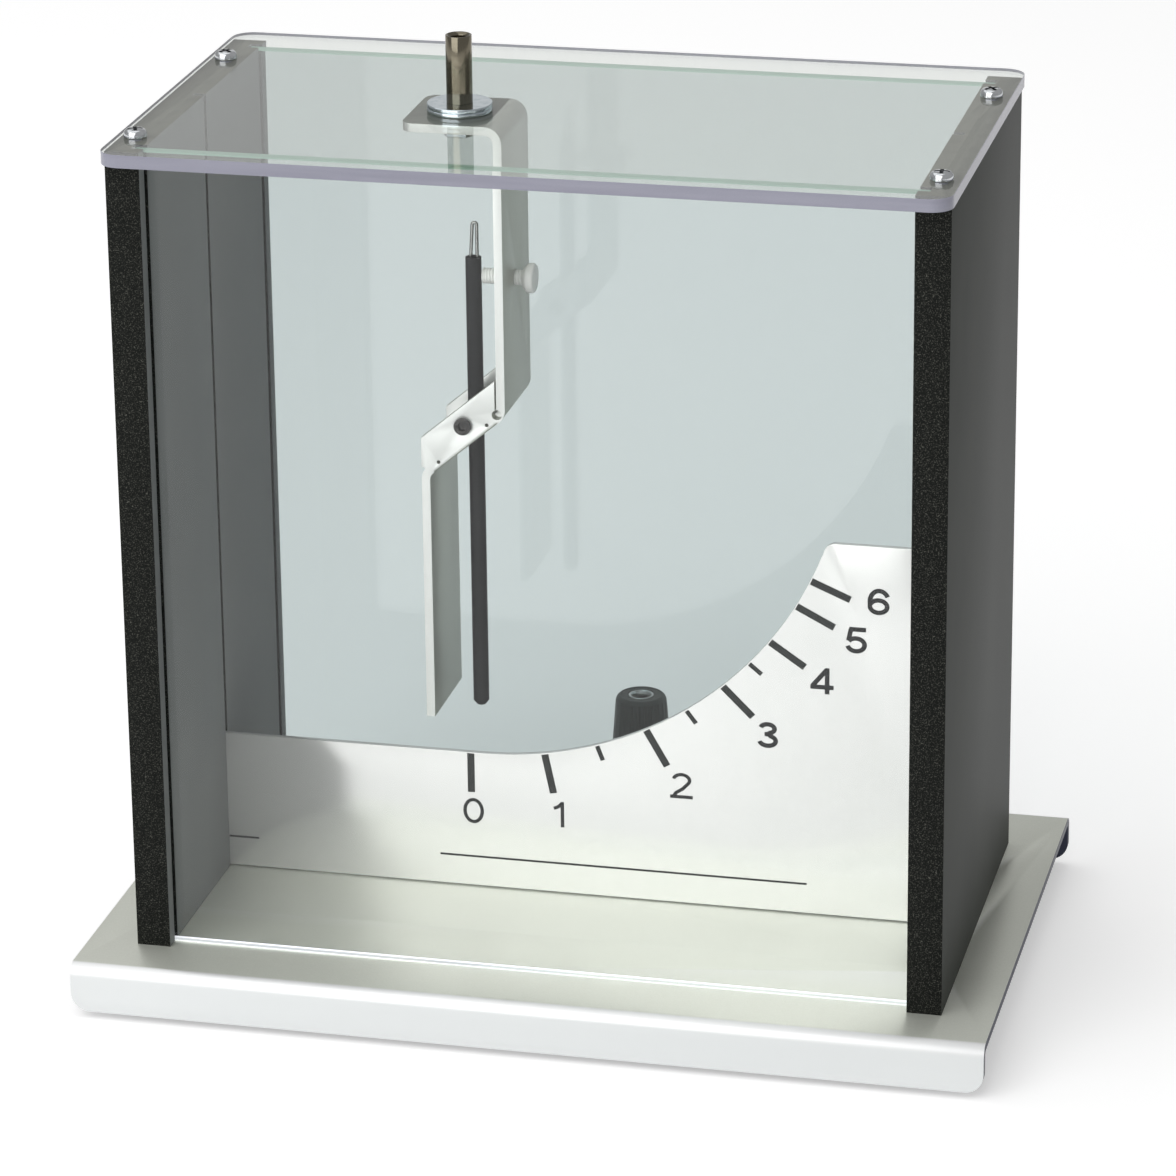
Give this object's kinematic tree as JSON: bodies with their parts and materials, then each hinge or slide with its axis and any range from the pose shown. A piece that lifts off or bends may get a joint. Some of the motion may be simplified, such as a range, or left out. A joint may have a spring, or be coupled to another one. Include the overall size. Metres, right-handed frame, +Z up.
{
  "type": "electroscope",
  "caption": "Demonstration electroscope: glazed case on a folded metal base, socket tube on top, folded bracket with a swinging pointer in front of an arc scale.",
  "frame": {"origin": "on the table under the middle of the base, at the bottom of the bounding box", "axes": "+Z up along the socket tube, +X to the right seen from the glazed front, +Y to the back where the earth terminal stands"},
  "size_m": [0.214, 0.135, 0.2237],
  "materials": {
    "base_sheet": "brushed along the width, clear anodised",
    "foot_rubber": "matt",
    "board": "fine matt grain, darker cut edges",
    "zinc": "bright zinc plating",
    "pane_glass": "polished, green cut edges",
    "scale_sheet": "fine brushed, printed scale",
    "clear_sheet": "clear, polished edges",
    "nickel": "nickel plated",
    "bracket_sheet": "satin",
    "black_steel": "black oxide",
    "bare_steel": "bright drawn",
    "sleeve_black": "matt",
    "nylon": "natural, slightly milky",
    "black_plastic": "moulded, semi-gloss"
  },
  "bodies": {
    "instrument_case": {"base_plate": "base_sheet", "rubber_feet": "foot_rubber", "side_board_left": "board", "side_board_right": "board", "board_screws": "zinc", "front_pane": "pane_glass", "rear_pane": "pane_glass", "scale_plate": "scale_sheet", "top_plate": "clear_sheet", "top_screws": "zinc", "socket_tube": "nickel", "tube_washers": "zinc", "tube_nut": "zinc", "bracket": "bracket_sheet", "bearing_screw_front": "black_steel", "bearing_screw_rear": "black_steel", "post_stud": "nickel", "post_collar": "black_plastic", "post_washer": "zinc", "post_nut": "zinc"},
    "pointer": {"pointer_axle": "bare_steel", "pointer_wire": "bare_steel", "pointer_sleeve": "sleeve_black"},
    "stop": {"stop_screw": "nylon"},
    "terminal_bush": {"post_bush": "nickel"},
    "terminal_cap": {"post_cap": "black_plastic"}
  },
  "joints": [
    {"name": "pointer_swing", "type": "hinge", "parent": "instrument_case", "child": "pointer", "pos_m": [-0.023, -0.0055, 0.1343], "axis": [0, -1, 0], "range_deg": [0, 65]},
    {"name": "stop_travel", "type": "slide", "parent": "instrument_case", "child": "stop", "axis": [1, 0, 0], "range_m": [0, 0.003]},
    {"name": "cap_lift", "type": "slide", "parent": "instrument_case", "child": "terminal_bush", "axis": [0, 0, 1], "range_m": [0, 0.004]},
    {"name": "cap_turn", "type": "hinge", "parent": "terminal_bush", "child": "terminal_cap", "pos_m": [0.002, 0.056, 0.0317], "axis": [0, 0, 1], "range_deg": [0, 1440]}
  ],
  "couplings": [
    {"joint": "cap_lift", "follows": "cap_turn", "m_per_rad": 0.000159}
  ]
}
